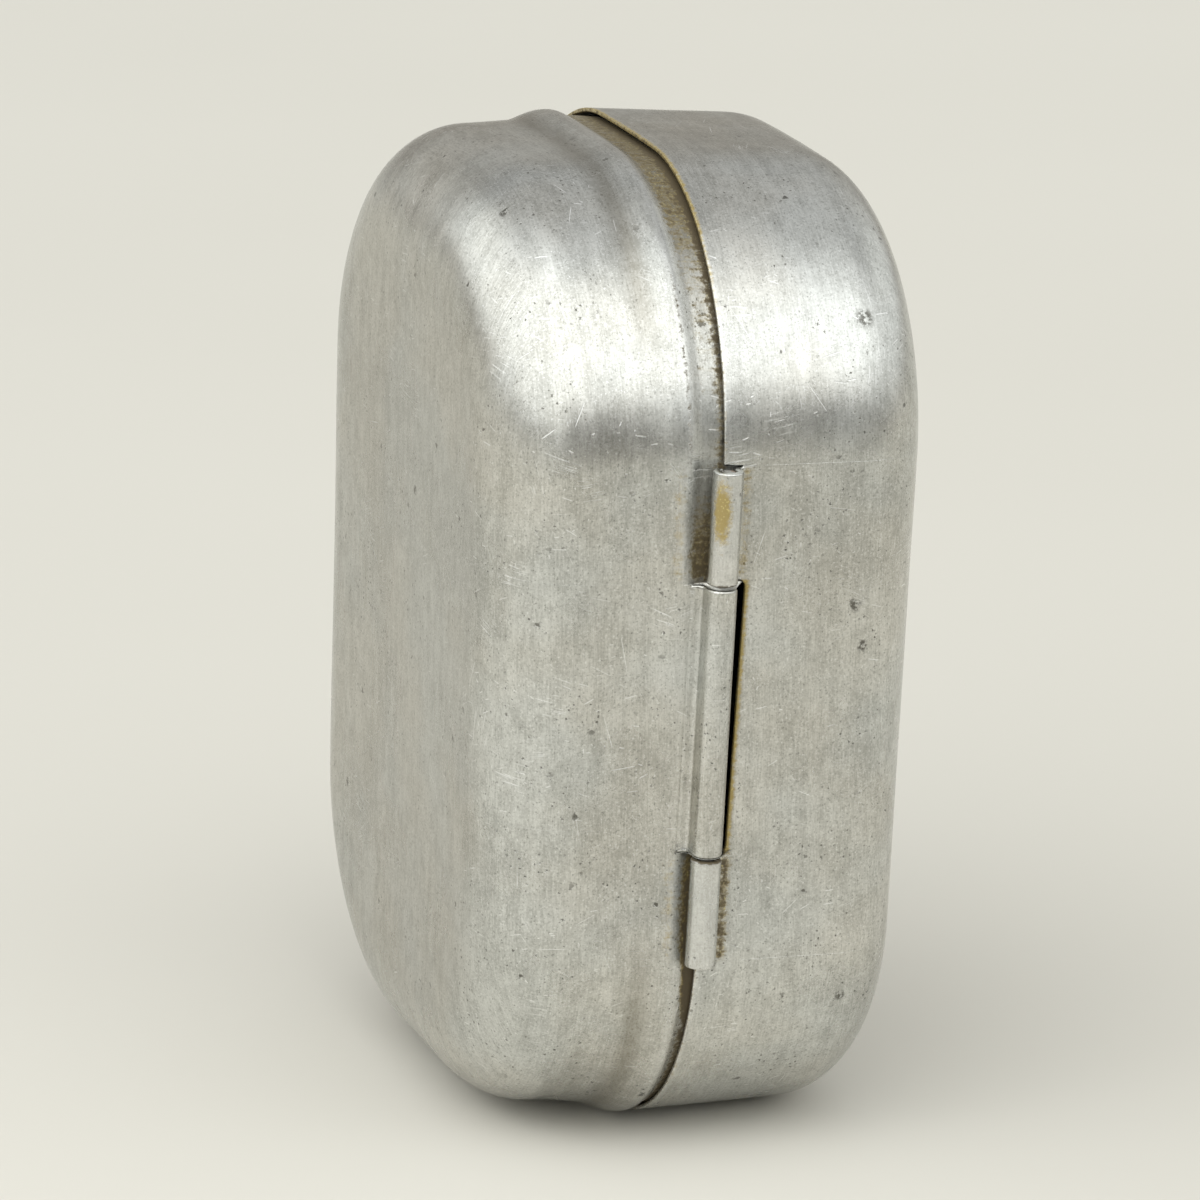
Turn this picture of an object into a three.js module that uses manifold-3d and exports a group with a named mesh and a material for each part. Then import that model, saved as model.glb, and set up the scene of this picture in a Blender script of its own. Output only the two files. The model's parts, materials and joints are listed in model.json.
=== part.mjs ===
// Soap tin: two drawn aluminium shells joined by a hinge rolled from their own rims.
// Millimetres, +Z up. The closed tin stands on one short end with its hinge side facing -Y.
// The base shell lies towards -X and the lid shell towards +X.
import * as THREE from 'three';
import { mergeVertices } from 'three/addons/utils/BufferGeometryUtils.js';
import Module from 'manifold-3d';

// Overall size of the tin, measured over the lid's rim
const TIN_LENGTH = 100;
const TIN_WIDTH = 70;
const SHEET = 0.8;

// The head end bows out by this much at its middle, and the foot end is flat
const HEAD_BOW = 1.4;

// Lid shell: depth from its rim, corner radii in plan, draft of its wall, roundover to its face
const LID_DEPTH = 23.5;
const LID_CORNERS = { head: 26.5, foot: 23.5 };
const LID_DRAFT = 0.038;
const LID_ROUND_DEPTH = 8.6;
const LID_ROUND_INSET = 10;

// Base shell: depth from the lid's rim, corner radii in plan, wall set in from the bead, roundover.
// Its corners are the lid's at the rim and grow to these radii where the roundover starts.
const BASE_DEPTH = 21.5;
const BASE_CORNERS = { head: 27, foot: 27 };
const BASE_WALL_INSET = 0.9;
const BASE_DRAFT = 0.013;
const BASE_ROUND_DEPTH = 9.7;
const BASE_ROUND_INSET = 11.7;

// Bead round the base: an S-curve rises from the wall to a crest flush with the lid, then a
// shoulder drops to the spigot that goes inside the lid
const BEAD_FOOT = 7;
const BEAD_CREST = 3.2;
const BEAD_CREST_INSET = 0;
const ROUND_SHOULDER = { radius: 0.3, steps: 3 };
const SQUARE_SHOULDER = { radius: 0, steps: 1 };
const SPIGOT_ROOT = 1.55;
const SPIGOT_INSET = 1.2;
const SPIGOT_REACH = 4;
const SPIGOT_LEAD = 0.5;

// Worn fit: the lid sits slightly askew, so the seam is wider at the head than at the foot
const LID_SKEW = 0.027;

// Hinge: three knuckles on one pin, the outer two on the lid and the long middle one on the base
const HINGE_FOOT = 22.3;
const HINGE_LENGTH = 50.9;
const FOOT_KNUCKLE = 11.2;
const HEAD_KNUCKLE = 11.5;
const KNUCKLE_GAP = 0.4;
const BARREL_RADIUS = 1.55;
const CURL_SHEET = 0.75;
const PIN_STANDOFF = 1.2;
const PIN_RADIUS = 0.7;
const PIN_RECESS = 0.3;
const CURL_SWEEP = 1.42 * Math.PI;
const CURL_BEND_RADIUS = 0.45;
const CURL_LAP = 1.4;

// Cut-outs at the hinge: the lid's notch round the middle knuckle and the slit in the spigot
const NOTCH_DEPTH = 3;
const NOTCH_CLEARANCE = 0.5;
const NOTCH_CORNER = 0.8;
const SLIT_CLEARANCE = 0.3;
const SLIT_ROOT = 2.95;

// Beside each lid knuckle the bead's shoulder is set back to leave a recess for the barrel
const SHOULDER_SETBACK = 1.05;
const SETBACK_FADE = 1.6;

// Facets
const CORNER_STEPS = 11;
const ROUND_STEPS = 8;
const BEAD_STEPS = 6;
const CURL_STEPS = 22;
const BEND_STEPS = 3;
const PIN_SIDES = 24;
const HINGE_STATIONS = 18;
const HEAD_STATIONS = 6;

// Places that follow from the driving dimensions
const HALF_WIDTH = TIN_WIDTH / 2;
const HALF_LENGTH = TIN_LENGTH / 2;
const WALL_MIDDLE_Y = -HALF_WIDTH + SHEET / 2;
const PIN_Y = -HALF_WIDTH - PIN_STANDOFF;
const CURL_MIDDLE_RADIUS = BARREL_RADIUS - CURL_SHEET / 2;
const HINGE_HEAD = HINGE_FOOT + HINGE_LENGTH;
const FOOT_SPAN = [HINGE_FOOT, HINGE_FOOT + FOOT_KNUCKLE];
const HEAD_SPAN = [HINGE_HEAD - HEAD_KNUCKLE, HINGE_HEAD];
const MIDDLE_SPAN = [FOOT_SPAN[1] + KNUCKLE_GAP, HEAD_SPAN[0] - KNUCKLE_GAP];

const { lerp, smoothstep } = THREE.MathUtils;
const wasm = await Module();
wasm.setup();

// Solids and cuts

function toSolid(geometry) {
  const bare = geometry.clone();
  bare.deleteAttribute('normal');
  bare.deleteAttribute('uv');
  const merged = mergeVertices(bare, 1e-5);
  const vertProperties = new Float32Array(merged.attributes.position.array);
  const triVerts = new Uint32Array(merged.index.array);
  return new wasm.Manifold(new wasm.Mesh({ numProp: 3, vertProperties, triVerts }));
}

function toGeometry(solid) {
  const mesh = solid.getMesh();
  const geometry = new THREE.BufferGeometry();
  geometry.setAttribute('position', new THREE.BufferAttribute(mesh.vertProperties, 3));
  geometry.setIndex(new THREE.BufferAttribute(mesh.triVerts, 1));
  geometry.computeVertexNormals();
  return geometry;
}

function block(low, high) {
  const size = high.map((value, i) => value - low[i]);
  const middle = high.map((value, i) => (value + low[i]) / 2);
  return new THREE.BoxGeometry(...size).translate(...middle);
}

// Rings round the tin

// One closed ring of points round the tin, counter-clockwise seen from +X. Its outline is a rounded
// rectangle whose head end bows out. wallAt gives the wall's depth and inset at a height.
function outlineRing(corners, wallAt) {
  const ring = [];
  const headLevel = TIN_LENGTH - HEAD_BOW;
  const headCentre = headLevel - corners.head;
  const addPoint = (depth, y, z) => {
    const share = Math.max(z - HALF_LENGTH, 0) / (headLevel - HALF_LENGTH);
    ring.push({ depth, y, z: z + HEAD_BOW * share * (1 - (y / HALF_WIDTH) ** 2) });
  };
  const addCorner = (signY, radius, centreZ, quarter) => {
    for (let i = 0; i <= CORNER_STEPS; i++) {
      const angle = (quarter + i / CORNER_STEPS) * Math.PI / 2;
      const { depth, inset } = wallAt(centreZ + radius * Math.sin(angle), signY < 0);
      const y = signY * (HALF_WIDTH - radius) + (radius - inset) * Math.cos(angle);
      addPoint(depth, y, centreZ + (radius - inset) * Math.sin(angle));
    }
  };
  addCorner(1, corners.head, headCentre, 0);
  for (let i = 1; i < HEAD_STATIONS; i++) {
    const { depth, inset } = wallAt(headLevel, false);
    addPoint(depth, (HALF_WIDTH - corners.head) * (1 - 2 * i / HEAD_STATIONS), headLevel - inset);
  }
  addCorner(-1, corners.head, headCentre, 1);
  for (let i = 1; i < HINGE_STATIONS; i++) {
    const z = lerp(headCentre, corners.foot, i / HINGE_STATIONS);
    const { depth, inset } = wallAt(z, true);
    addPoint(depth, -HALF_WIDTH + inset, z);
  }
  addCorner(-1, corners.foot, corners.foot, 2);
  addCorner(1, corners.foot, corners.foot, 3);
  return ring;
}

// A closed solid skinned over rings that run from an outer face, over the rim, to the inner face
function loftShell(rings, side) {
  const positions = [];
  const index = [];
  const count = rings[0].length;
  const triangle = (a, b, c) => index.push(...(side > 0 ? [a, b, c] : [a, c, b]));
  for (const { depth, y, z } of rings.flat()) positions.push(side * depth, y, z);
  for (let row = 0; row + 1 < rings.length; row++) {
    for (let i = 0; i < count; i++) {
      const next = (i + 1) % count;
      const a = row * count;
      const b = a + count;
      triangle(a + i, b + i, b + next);
      triangle(a + i, b + next, a + next);
    }
  }
  const lastRow = (rings.length - 1) * count;
  const outerCentre = positions.length / 3;
  positions.push(side * rings[0][0].depth, 0, HALF_LENGTH);
  const innerCentre = outerCentre + 1;
  positions.push(side * rings.at(-1)[0].depth, 0, HALF_LENGTH);
  for (let i = 0; i < count; i++) {
    const next = (i + 1) % count;
    triangle(outerCentre, i, next);
    triangle(innerCentre, lastRow + next, lastRow + i);
  }
  const geometry = new THREE.BufferGeometry();
  geometry.setAttribute('position', new THREE.Float32BufferAttribute(positions, 3));
  geometry.setIndex(index);
  return geometry;
}

// Wall profiles: points of depth from the rim plane against inset from the tin's outline

// Quarter ellipse from the flat face to the wall
function roundover(depth, roundDepth, roundInset, wallInset) {
  const points = [];
  for (let i = 0; i <= ROUND_STEPS; i++) {
    const angle = (i / ROUND_STEPS) * Math.PI / 2;
    points.push({
      depth: depth - roundDepth * (1 - Math.cos(angle)),
      inset: wallInset + roundInset * (1 - Math.sin(angle)),
    });
  }
  return points;
}

// A sheet that follows the profile out to the rim and, one thickness further in, back to the face.
// The inner skin comes from a profile whose tightest bend is square, and it never doubles back.
function sheetWall(profile, squareProfile = profile) {
  const direction = (from, to) => (
    new THREE.Vector2(to.depth - from.depth, to.inset - from.inset).normalize()
  );
  const inside = squareProfile.map((point, i) => {
    const arriving = i > 0 ? direction(squareProfile[i - 1], point) : new THREE.Vector2(0, -1);
    const leaving = i + 1 < squareProfile.length ? direction(point, squareProfile[i + 1]) : arriving;
    const along = arriving.clone().add(leaving).normalize();
    const mitre = SHEET / along.dot(leaving);
    return { depth: point.depth + mitre * along.y, inset: point.inset - mitre * along.x };
  });
  inside.reverse();
  for (let i = 1; i < inside.length; i++) {
    inside[i].depth = Math.max(inside[i].depth, inside[i - 1].depth);
  }
  return [...profile, ...inside];
}

function lidProfile() {
  const wallInset = LID_DRAFT * (LID_DEPTH - LID_ROUND_DEPTH);
  return [
    ...roundover(LID_DEPTH, LID_ROUND_DEPTH, LID_ROUND_INSET, wallInset),
    { depth: 0, inset: 0 },
  ];
}

function baseProfile(setback, shoulder) {
  const wallInset = BASE_WALL_INSET + BASE_DRAFT * (BASE_DEPTH - BASE_ROUND_DEPTH - BEAD_FOOT);
  const profile = roundover(BASE_DEPTH, BASE_ROUND_DEPTH, BASE_ROUND_INSET, wallInset);
  for (let i = 0; i <= BEAD_STEPS; i++) {
    const share = i / BEAD_STEPS;
    const rise = (1 - Math.cos(Math.PI * share)) / 2;
    profile.push({
      depth: lerp(BEAD_FOOT, BEAD_CREST, share),
      inset: lerp(BASE_WALL_INSET, BEAD_CREST_INSET, rise),
    });
  }
  for (let i = 0; i <= shoulder.steps; i++) {
    const angle = (i / shoulder.steps) * Math.PI / 2;
    profile.push({
      depth: SPIGOT_ROOT + setback + shoulder.radius * (1 - Math.sin(angle)),
      inset: lerp(BEAD_CREST_INSET, SPIGOT_INSET, 1 - Math.cos(angle)),
    });
  }
  const tipInset = SPIGOT_INSET + LID_DRAFT * (SPIGOT_ROOT + SPIGOT_REACH);
  profile.push({ depth: SPIGOT_LEAD - SPIGOT_REACH, inset: tipInset });
  profile.push({ depth: -SPIGOT_REACH, inset: tipInset + SPIGOT_LEAD / 2 });
  return profile;
}

// How far the shoulder is set back at a height: 1 beside a lid knuckle, fading to 0
function setbackAt(z) {
  const beyond = ([low, high]) => Math.max(low - z, z - high);
  const nearest = Math.min(beyond(FOOT_SPAN), beyond(HEAD_SPAN));
  return 1 - smoothstep(nearest, -SETBACK_FADE / 2, SETBACK_FADE / 2);
}

// One ring for each point of the wall, which turns into the set-back wall beside the lid's knuckles
function shellRings(cornersAt, wall, setbackWall = wall) {
  return wall.map((point, row) => outlineRing(cornersAt(point.depth), (z, hingeSide) => {
    const share = hingeSide ? setbackAt(z) : 0;
    return {
      depth: lerp(point.depth, setbackWall[row].depth, share),
      inset: lerp(point.inset, setbackWall[row].inset, share),
    };
  }));
}

// Hinge

// A strip of sheet lapped on the wall, bent outwards and rolled over the pin. Side is +1 for a
// knuckle of the lid, whose flank faces +X, and -1 for the base's.
function knuckle([low, high], side) {
  const middle = [];
  const flankX = CURL_MIDDLE_RADIUS;
  const bend = CURL_BEND_RADIUS + CURL_SHEET / 2;
  const bendX = flankX + bend;
  const lapY = (x) => WALL_MIDDLE_Y + (side > 0 ? LID_DRAFT * x : BEAD_CREST_INSET);
  middle.push([bendX + CURL_LAP, lapY(bendX + CURL_LAP)]);
  for (let i = 0; i <= BEND_STEPS; i++) {
    const angle = (i / BEND_STEPS) * Math.PI / 2;
    middle.push([bendX - bend * Math.sin(angle), lapY(bendX) - bend * (1 - Math.cos(angle))]);
  }
  for (let i = 0; i <= CURL_STEPS; i++) {
    const angle = (i / CURL_STEPS) * CURL_SWEEP;
    middle.push([CURL_MIDDLE_RADIUS * Math.cos(angle), PIN_Y - CURL_MIDDLE_RADIUS * Math.sin(angle)]);
  }
  const edge = (offset) => middle.map(([x, y], i) => {
    const before = middle[Math.max(i - 1, 0)];
    const after = middle[Math.min(i + 1, middle.length - 1)];
    const along = new THREE.Vector2(after[0] - before[0], after[1] - before[1]).normalize();
    return new THREE.Vector2(side * (x - offset * along.y), y + offset * along.x);
  });
  const outline = [...edge(CURL_SHEET / 2), ...edge(-CURL_SHEET / 2).reverse()];
  const section = new THREE.Shape(outline);
  const strip = new THREE.ExtrudeGeometry(section, { depth: high - low, bevelEnabled: false });
  return strip.translate(0, 0, low);
}

// The lid's notch: a slot in from the rim with two rounded inner corners
function lidNotch() {
  const low = MIDDLE_SPAN[0] - NOTCH_CLEARANCE;
  const high = MIDDLE_SPAN[1] + NOTCH_CLEARANCE;
  const slot = new THREE.Shape();
  slot.moveTo(-NOTCH_DEPTH, low);
  slot.lineTo(NOTCH_DEPTH - NOTCH_CORNER, low);
  slot.absarc(NOTCH_DEPTH - NOTCH_CORNER, low + NOTCH_CORNER, NOTCH_CORNER, -Math.PI / 2, 0);
  slot.absarc(NOTCH_DEPTH - NOTCH_CORNER, high - NOTCH_CORNER, NOTCH_CORNER, 0, Math.PI / 2);
  slot.lineTo(-NOTCH_DEPTH, high);
  const cutter = new THREE.ExtrudeGeometry(slot, { depth: 4 * SHEET, bevelEnabled: false, curveSegments: 4 });
  return cutter.rotateX(Math.PI / 2).translate(0, -HALF_WIDTH + 3 * SHEET, 0);
}

// Room in the lid's rim under one of its own knuckles
function knuckleRelief([low, high]) {
  const reach = CURL_MIDDLE_RADIUS + CURL_BEND_RADIUS + CURL_SHEET / 2;
  const sideGap = KNUCKLE_GAP / 2;
  return block(
    [-NOTCH_DEPTH, -HALF_WIDTH - SHEET, low - sideGap],
    [reach, -HALF_WIDTH + 3 * SHEET, high + sideGap],
  );
}

function spigotSlit() {
  return block(
    [-SLIT_ROOT, -HALF_WIDTH - SHEET, MIDDLE_SPAN[0] - SLIT_CLEARANCE],
    [2 * SPIGOT_REACH, -HALF_WIDTH + 5 * SHEET, MIDDLE_SPAN[1] + SLIT_CLEARANCE],
  );
}

// Pieces. The lid and the hinge share the lid's frame, and the base is turned in it by the skew.

function skewed(geometry) {
  return geometry.translate(0, 0, -HALF_LENGTH).rotateY(-LID_SKEW).translate(0, 0, HALF_LENGTH);
}

function lidShell() {
  let solid = toSolid(loftShell(shellRings(() => LID_CORNERS, sheetWall(lidProfile())), 1));
  solid = solid.subtract(toSolid(lidNotch()));
  for (const span of [FOOT_SPAN, HEAD_SPAN]) {
    solid = solid.subtract(toSolid(knuckleRelief(span))).add(toSolid(knuckle(span, 1)));
  }
  return toGeometry(solid);
}

function baseCorners(depth) {
  const share = smoothstep(depth, BEAD_CREST, BASE_DEPTH - BASE_ROUND_DEPTH);
  return {
    head: lerp(LID_CORNERS.head, BASE_CORNERS.head, share),
    foot: lerp(LID_CORNERS.foot, BASE_CORNERS.foot, share),
  };
}

function baseShell() {
  const wallAt = (setback) => sheetWall(
    baseProfile(setback, ROUND_SHOULDER),
    baseProfile(setback, SQUARE_SHOULDER),
  );
  const rings = shellRings(baseCorners, wallAt(0), wallAt(SHOULDER_SETBACK));
  const shell = toSolid(skewed(loftShell(rings, -1)));
  const slitShell = shell.subtract(toSolid(spigotSlit()));
  return toGeometry(slitShell.add(toSolid(knuckle(MIDDLE_SPAN, -1))));
}

function hingePin() {
  const length = HINGE_LENGTH - 2 * PIN_RECESS;
  const wire = new THREE.CylinderGeometry(PIN_RADIUS, PIN_RADIUS, length, PIN_SIDES);
  return wire.rotateX(Math.PI / 2).translate(0, PIN_Y, HINGE_FOOT + HINGE_LENGTH / 2);
}

function piece(name, geometry, color, roughness) {
  const material = new THREE.MeshStandardMaterial({ color, roughness, metalness: 1 });
  const mesh = new THREE.Mesh(geometry, material);
  mesh.name = name;
  return mesh;
}

// The lid leans by its own draft, so that the foot of its wall lies flat on the ground
const leaning = new THREE.Group();
leaning.add(
  piece('base_shell', baseShell(), 0xb4b5b3, 0.42),
  piece('lid_shell', lidShell(), 0xb8b9b7, 0.4),
  piece('hinge_pin', hingePin(), 0x8e8f90, 0.35),
);
leaning.rotation.y = Math.atan(LID_DRAFT);

// The origin is on the ground, under the middle of the tin's box
const tin = new THREE.Group();
tin.add(leaning);
const box = new THREE.Box3().setFromObject(tin, true);
const middle = box.getCenter(new THREE.Vector3());
leaning.position.set(-middle.x, -middle.y, -box.min.z);

export default tin;
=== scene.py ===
# Worn aluminium soap tin, standing on one short end on a pale floor: two drawn shells whose rims
# are cut and rolled into a hinge on a steel wire. Sizes are in millimetres until a mesh is made.
import json
import math

import bpy
import numpy as np
from mathutils import Matrix, Vector


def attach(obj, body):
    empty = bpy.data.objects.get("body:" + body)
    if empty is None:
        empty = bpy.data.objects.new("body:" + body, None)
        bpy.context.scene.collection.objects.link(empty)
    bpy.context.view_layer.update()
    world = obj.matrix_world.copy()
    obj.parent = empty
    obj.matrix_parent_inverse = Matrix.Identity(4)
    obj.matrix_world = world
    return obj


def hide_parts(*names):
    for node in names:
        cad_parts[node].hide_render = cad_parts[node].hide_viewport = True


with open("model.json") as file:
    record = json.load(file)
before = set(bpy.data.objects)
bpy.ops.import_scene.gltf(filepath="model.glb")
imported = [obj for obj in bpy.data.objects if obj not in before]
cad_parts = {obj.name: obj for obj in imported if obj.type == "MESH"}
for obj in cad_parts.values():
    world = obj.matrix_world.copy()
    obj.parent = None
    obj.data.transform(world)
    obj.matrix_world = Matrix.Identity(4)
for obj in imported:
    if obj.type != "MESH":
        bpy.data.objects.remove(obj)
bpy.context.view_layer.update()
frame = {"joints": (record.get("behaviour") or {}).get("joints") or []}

MM = 0.001
QUARTER = math.pi / 2

# The tin over the lid's rim
TIN_LENGTH = 100
TIN_WIDTH = 70
HALF_WIDTH = TIN_WIDTH / 2
MIDDLE = TIN_LENGTH / 2
SHEET = 0.8
LID_RIM_SHARE = 0.55
LID_RIM_TAPER = 8
HEAD_BOW = 1.4

# Lid shell
LID_DEPTH = 23.5
LID_CORNERS = (26.5, 23.5)
LID_DRAFT = 0.038
LID_ROUND_DEPTH = 8.6
LID_ROUND_INSET = 10

# Base shell, with its bead, shoulder and spigot, and the recess beside the outer knuckles, which
# ends sooner and more softly towards the head
BASE_DEPTH = 21.5
BASE_CORNERS = (27, 27)
BASE_WALL_INSET = 0.9
BASE_DRAFT = 0.013
BASE_ROUND_DEPTH = 9.7
BASE_ROUND_INSET = 11.7
BEAD_FOOT = 7
BEAD_CREST = 3.2
BEAD_CREST_INSET = 0
SHOULDER_RUN = (1.2, 2.9)
RECESS_RUN = (1.5, 3.5)
SETBACK_FADE = 5
HEAD_FADE_RATE = 0.7
HEAD_FADE_BACK = 2
SPIGOT_INSET = 0.65
SPIGOT_TAPER = 0.075
SPIGOT_REACH = 4
SPIGOT_LEAD = 0.5
LID_SKEW = 0.027

# Hinge
HINGE_FOOT = 22.3
HINGE_LENGTH = 50.9
FOOT_KNUCKLE = 11.2
HEAD_KNUCKLE = 11.5
KNUCKLE_GAP = 0.4
BARREL_RADIUS = 1.55
CURL_SHEET = 0.75
PIN_STANDOFF = 1.2
PIN_RADIUS = 0.7
PIN_RECESS = 0.08
CURL_SWEEP = 1.42 * math.pi
CURL_BEND_RADIUS = 0.45
NOTCH_DEPTHS = (2.5, 2.95)
NOTCH_CORNER = 0.8
LID_SLIT = 0.12
BASE_SLIT = 0.06
SLIT_ROOT = 2.6

PIN_Y = -HALF_WIDTH - PIN_STANDOFF
HINGE_HEAD = HINGE_FOOT + HINGE_LENGTH
HINGE_MIDDLE = HINGE_FOOT + HINGE_LENGTH / 2
FOOT_SPAN = (HINGE_FOOT, HINGE_FOOT + FOOT_KNUCKLE)
HEAD_SPAN = (HINGE_HEAD - HEAD_KNUCKLE, HINGE_HEAD)
MIDDLE_SPAN = (FOOT_SPAN[1] + KNUCKLE_GAP, HEAD_SPAN[0] - KNUCKLE_GAP)
STRIP_REACH = BARREL_RADIUS + CURL_BEND_RADIUS

# How finely the shells are meshed: the rounding of a cut edge, columns round the tin, rows, and
# how far the rows at the lid's rim reach past its notch
EDGE_RADIUS = 0.2
EDGE_STEPS = 3
RIM_STEP = 0.55
RING_STEP = 1.0
FACE_ROWS = 12
ROUND_ROWS = 20
WALL_ROWS = 7
RIM_SHARES = np.concatenate([
    np.linspace(0, 0.3, 12),
    np.linspace(0.31, 0.56, 30),
    np.linspace(0.58, 1, 20),
])
INNER_STEP = 2
RIM_MARGIN = 1.2

# How far the bends of a profile are softened
LID_SOFTNESS = 0.5
BASE_SOFTNESS = 0.14
STRIP_SOFTNESS = 0.08

# Drawn sheet is never quite even: soft waves in it, each a length and a height
WAVES = ((30, 0.018), (11, 0.005))

# Lengths along the rim: where dirt grows towards the head end, where it starts and ends over it,
# and where the dirt on the bead's crest ends
TO_HEAD = (76, 90)
LID_OVER_HEAD = (84, 104)
BASE_OVER_HEAD = (90, 104)
PAST_HEAD = (175, 150)
CREST_DIRT_END = 93

# A stain on the head knuckle: its height, its length down the rolled strip, and its reach
STAIN_HEIGHT = 69.3
STAIN_DOWN = 4.9
STAIN_REACH = (3.2, 1.0)

# Dark blots, each a place on the closed tin and a size
BLOTS = (
    ((15.5, -28.6, 86.1), 1.3),
    ((13.6, -33.0, 58.0), 1.0),
    ((14.5, -32.9, 53.7), 0.8),
    ((13.4, -32.1, 16.9), 0.8),
    ((-17.6, -15.2, 95.7), 0.9),
    ((-22.9, -2.8, 64.5), 0.7),
)

# Scratches: size of a cell, width, length, share of cells, lean, spread of the lean, and a shift
SCRATCHES = (
    (3.6, 0.06, 4.5, 0.18, 0.0, math.pi, 17.0),
    (1.9, 0.075, 1.6, 0.28, -0.5, 1.1, 31.0),
    (1.1, 0.08, 0.6, 0.14, -0.9, 3.0, 89.0),
    (4.4, 0.06, 5.0, 0.16, 1.1, 0.9, 47.0),
)

# Scuffs: size of a cell, share of cells, lean, spread of the lean, and a shift
SCUFFS = (
    (5.0, 0.22, -0.5, 1.0, 61.0),
    (6.5, 0.15, 1.0, 1.1, 73.0),
)

# Fine and coarse pits: size of a cell, size, share of cells, and a shift
PITS = (
    (0.75, 0.17, 0.4, 5.0),
    (4.0, 0.45, 0.3, 23.0),
)

# Colours of the aluminium, warm and cool, and of its wear and dirt, with the painted shade and
# painted highlight laid over it
DARK_TONES = ((0.415, 0.407, 0.368, 1), (0.405, 0.409, 0.386, 1))
PALE_TONES = ((0.7, 0.688, 0.642, 1), (0.68, 0.688, 0.662, 1))
SPARKLE_COLOUR = (0.86, 0.86, 0.85, 1)
SHADE_COLOUR = (0.2, 0.2, 0.18, 1)
SCRATCH_AND_SHEEN_COLOUR = (0.95, 0.95, 0.94, 1)
PIT_COLOUR = (0.09, 0.085, 0.07, 1)
TARNISH_AND_SHADE_COLOUR = (0.15, 0.125, 0.08, 1)
STAIN_COLOUR = (0.33, 0.24, 0.06, 1)
FLECK_COLOUR = (0.62, 0.53, 0.24, 1)
GRIME_COLOUR = (0.085, 0.065, 0.035, 1)

# Colours of the wire and of the floor
STEEL_TONES = ((0.34, 0.33, 0.31, 1), (0.56, 0.55, 0.53, 1))
RUST_COLOUR = (0.16, 0.08, 0.035, 1)
FLOOR_TONES = ((0.585, 0.565, 0.51, 1), (0.615, 0.595, 0.54, 1))

# Light of the room: the horizon behind and in front, the ceiling, the windows at the right and
# left, and the window in front with the way to it
HORIZON_TONES = ((0.42, 0.40, 0.36, 1), (0.26, 0.26, 0.25, 1))
CEILING_COLOUR = (0.58, 0.585, 0.58, 1)
SIDE_TONES = ((1.05, 1.07, 1.05, 1), (1.45, 1.48, 1.45, 1))
WINDOW_COLOUR = (1.98, 2.02, 2.0, 1)
WINDOW_TOWARD = (-0.35, -0.94, 0.0)

# The photograph's camera: focal length in its 1200 pixel frame, place in millimetres and degrees
IMAGE_SIZE = 1200
FOCAL_PIXELS = 7000
SENSOR = 36
VIEW_AZIMUTH = -18.6
VIEW_ELEVATION = 15.69
VIEW_ROLL = 0.95
VIEW_DISTANCE = 722
VIEW_SIDEWAYS = -1.87
VIEW_HEIGHT = 50.46


# Small tools

def smoothstep(low, high, value):
    share = np.clip((value - low) / (high - low), 0, 1)
    return share * share * (3 - 2 * share)


def lerp(a, b, share):
    return a + (b - a) * share


def in_spans(along, spans, margin=0.0):
    inside = np.zeros(np.shape(along), bool)
    for low, high in spans:
        inside |= (along > low - margin) & (along < high + margin)
    return inside


def waves(points, seed):
    """Soft random waves over points in space, in millimetres."""
    random = np.random.default_rng(seed)
    total = np.zeros(len(points))
    for length, height in WAVES:
        for _ in range(9):
            heading = random.normal(size=3)
            heading /= np.linalg.norm(heading)
            rate = 2 * math.pi / (length * random.uniform(0.7, 1.6))
            total += height / 2 * np.sin(points @ heading * rate + random.uniform(0, 2 * math.pi))
    return total


# The tin's place: the lid's frame leans, and the hinge joint says where it is

class Place:
    def __init__(self, joint):
        x, _, z = joint["axis"]
        lean = math.atan2(-x, -z)
        self.turn = np.array(Matrix.Rotation(lean, 3, "Y"))
        self.shift = np.array(joint["pos_m"]) / MM - self.turn @ np.array([0, PIN_Y, HINGE_MIDDLE])

    def world(self, points):
        return (points @ self.turn.T + self.shift) * MM


# Outlines and profiles

class Outline:
    """The tin seen square on: a rounded rectangle with a bowed head end.

    A length along its rim is a height on the hinge side, then goes on over the head end, down the
    far side and back along the foot end. The corners can grow rounder away from the rim.
    """

    def __init__(self, rim_corners, body_corners):
        self.rim_corners = np.array(rim_corners, float)
        self.body_corners = np.array(body_corners, float)
        self.level = TIN_LENGTH - HEAD_BOW
        head, foot = rim_corners
        side = self.level - head - foot
        head_end = TIN_WIDTH - 2 * head
        foot_end = TIN_WIDTH - 2 * foot
        runs = []
        for straight, radius in ((side, head), (head_end, head), (side, foot), (foot_end, foot)):
            runs += [straight, radius * QUARTER]
        self.runs = np.array(runs)
        self.length = self.runs.sum()

    def at(self, along, inset, rounder):
        rest = np.mod(along - self.rim_corners[1], self.length)
        ends = np.cumsum(self.runs)
        run = np.minimum(np.searchsorted(ends, rest, side="right"), len(self.runs) - 1)
        share = 1 - (ends[run] - rest) / self.runs[run]
        corner, on_arc = run // 2, run % 2 == 1
        facing = math.pi - (corner + np.where(on_arc, share, 0)) * QUARTER
        head, foot = lerp(self.rim_corners[:, None], self.body_corners[:, None], rounder)

        def on_corner(number):
            at_head = number < 2
            radius = np.where(at_head, head, foot)
            to_far_side = np.where((number == 1) | (number == 2), 1, -1)
            y = to_far_side * (HALF_WIDTH - radius) + (radius - inset) * np.cos(facing)
            z = np.where(at_head, self.level - radius, radius) + (radius - inset) * np.sin(facing)
            return np.stack([y, z])

        y, z = lerp(on_corner((corner - 1) % 4), on_corner(corner), np.where(on_arc, 1, share))
        bowed = np.maximum(z - MIDDLE, 0) / (self.level - MIDDLE)
        return y, z + HEAD_BOW * bowed * (1 - (y / HALF_WIDTH) ** 2)


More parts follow.
